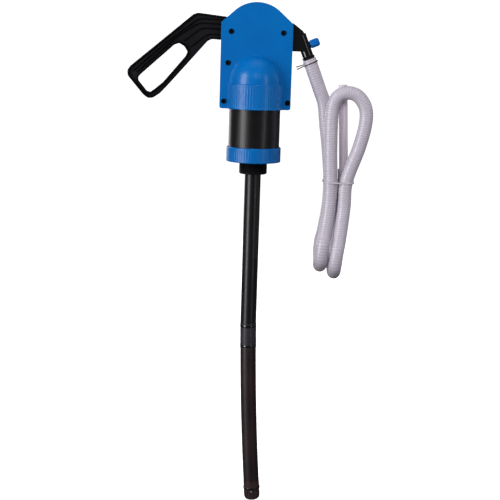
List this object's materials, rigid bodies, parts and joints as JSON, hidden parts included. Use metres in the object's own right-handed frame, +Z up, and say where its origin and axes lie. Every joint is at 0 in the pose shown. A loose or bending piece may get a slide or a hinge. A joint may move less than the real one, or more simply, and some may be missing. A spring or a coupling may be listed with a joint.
{
  "type": "drum barrel pump",
  "caption": "Hand lever drum pump with a domed blue housing, black D-handle lever, ring nut, threaded bung nipple, two-part suction tube and a clear delivery hose tied in a hank.",
  "frame": {"origin": "on the pump's axis, level with the underside of the ring nut, where the bung thread begins", "axes": "+Z up along the pump axis, +X towards the outlet spout, -Y towards the front shell"},
  "size_m": [0.5146, 0.122, 1.0779],
  "materials": {
    "shell_blue": "glossy moulded blue plastic",
    "black_plastic": "glossy black moulded plastic",
    "lever_black": "fine-grained black moulded plastic",
    "grey_black": "satin dark grey plastic",
    "screw_black": "blackened steel",
    "steel": "bright steel",
    "rubber": "black nitrile",
    "bronze": "plain bearing bronze",
    "clear_hose": "clear spiral-ribbed vinyl",
    "clear_tube": "smooth clear vinyl",
    "tie_white": "plain nylon"
  },
  "bodies": {
    "pump_body": {"front_shell": "shell_blue", "rear_shell": "shell_blue", "shell_screws": "screw_black", "shell_nuts": "screw_black", "pivot_sleeve": "steel", "rod_bush": "bronze", "rod_seal": "rubber", "gland_nut": "black_plastic", "pump_head": "black_plastic", "head_gasket": "rubber", "cylinder": "black_plastic", "base_cap": "black_plastic", "base_gasket": "rubber", "valve_cage": "black_plastic", "collar_nut": "shell_blue", "upper_tube": "black_plastic", "joiner": "grey_black", "lower_tube": "black_plastic", "foot_strainer": "grey_black", "outlet_spout": "black_plastic", "spout_seal": "rubber", "vent_seal": "rubber", "hose": "clear_hose", "hose_clip": "steel", "hose_tie": "tie_white", "nozzle_tube": "clear_tube"},
    "lever": {"lever": "lever_black", "lever_bush": "bronze"},
    "piston_rod_unit": {"piston_rod": "steel", "cross_pin": "steel", "pin_clips": "steel", "piston": "black_plastic", "piston_seal": "rubber", "flap_stop": "steel", "piston_nut": "steel"},
    "delivery_flap": {"piston_flap": "rubber"},
    "intake_valve": {"intake_disc": "rubber"},
    "vent": {"vent_knob": "shell_blue"}
  },
  "joints": [
    {"name": "lever_swing", "type": "hinge", "parent": "pump_body", "child": "lever", "pos_m": [-0.053, 0, 0.268], "axis": [0, 1, 0], "range_deg": [0, 50]},
    {"name": "rod_slide", "type": "slide", "parent": "pump_body", "child": "piston_rod_unit", "axis": [0, 0, -1], "range_m": [0, 0.0495]},
    {"name": "flap_lift", "type": "slide", "parent": "piston_rod_unit", "child": "delivery_flap", "axis": [0, 0, 1], "range_m": [0, 0.004]},
    {"name": "intake_lift", "type": "slide", "parent": "pump_body", "child": "intake_valve", "axis": [0, 0, 1], "range_m": [0, 0.006]},
    {"name": "vent_turn", "type": "hinge", "parent": "pump_body", "child": "vent", "pos_m": [0.1186, 0, 0.2491], "axis": [0.9272, 0, 0.3746], "range_deg": [0, 180]}
  ],
  "couplings": [
    {"joint": "lever_swing", "follows": "rod_slide", "rad_per_m": 17.62}
  ]
}
